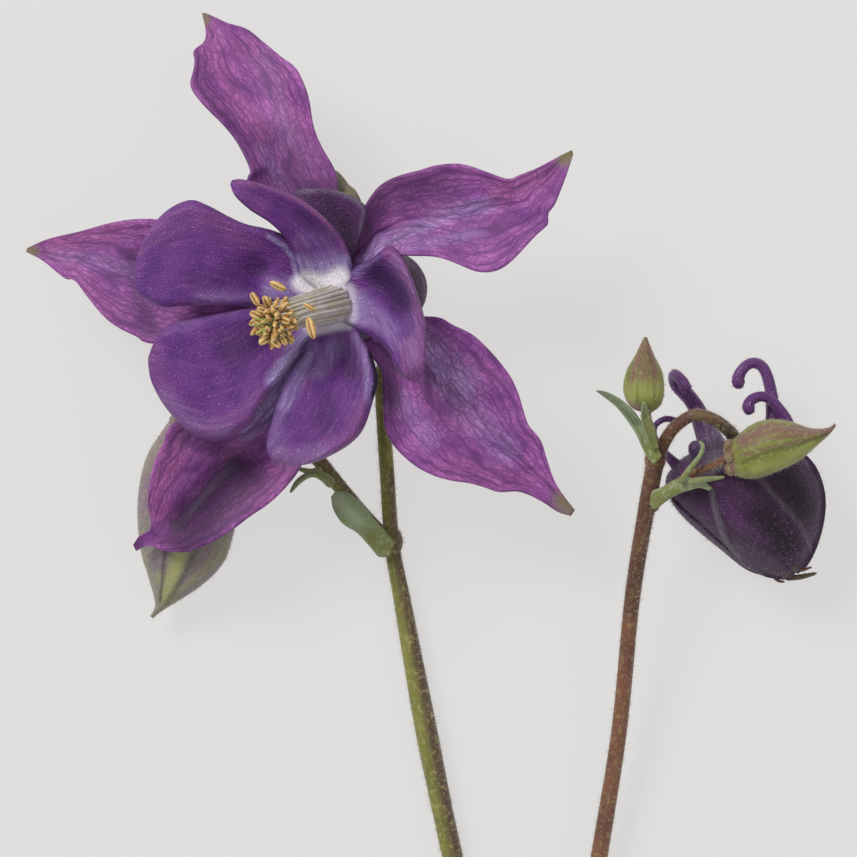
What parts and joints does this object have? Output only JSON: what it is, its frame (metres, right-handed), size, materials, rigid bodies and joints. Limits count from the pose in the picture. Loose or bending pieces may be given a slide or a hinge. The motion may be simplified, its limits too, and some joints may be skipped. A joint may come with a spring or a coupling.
{
  "type": "columbine plant",
  "caption": "Cut columbine stalk lying flat: two branches with an open violet bloom, a nodding dark bloom, closed downy buds and small bracts.",
  "frame": {"origin": "middle of the bounding box in X and Y, on the surface that the stalk lies on", "axes": "+X runs to the right and +Y to the top of the picture, along the stalk from its cut end to its blooms; +Z rises from the surface towards the viewer"},
  "size_m": [0.0874, 0.1408, 0.0292],
  "materials": {
    "sepal": "soft lavender-violet tepal skin with darker veins, low sheen",
    "petal": "deep violet petal skin, paler towards the throat, low sheen",
    "stamen": "golden ochre anthers on pale mauve filaments, dry",
    "pistil": "pale green styles, slightly glossy",
    "stem": "olive green and red-brown hairy skin",
    "bud": "grey-green and mauve downy sepal skin",
    "dark_bloom": "very dark violet downy skin",
    "leaf": "grey-green leaf skin"
  },
  "bodies": {
    "root": {"sepal_top": "sepal", "sepal_left": "sepal", "sepal_upper_right": "sepal", "sepal_lower_right": "sepal", "sepal_lower_left": "sepal", "petal_top": "petal", "petal_upper_left": "petal", "petal_lower_left": "petal", "petal_bottom": "petal", "petal_right": "petal", "stamens": "stamen", "pistils": "pistil", "stalk": "stem", "bud_left": "bud", "bud_green": "bud", "bud_small": "bud", "nodding_petals": "dark_bloom", "nodding_sepal_1": "dark_bloom", "nodding_sepal_2": "dark_bloom", "nodding_sepal_3": "dark_bloom", "nodding_sepal_4": "dark_bloom", "nodding_sepal_5": "dark_bloom", "bract_left": "leaf", "bract_right": "leaf", "bract_narrow": "leaf", "bract_small": "leaf", "stipule_long": "leaf", "stipule_curled": "leaf", "bracteole_upper": "leaf", "bracteole_lower": "leaf"}
  },
  "joints": []
}
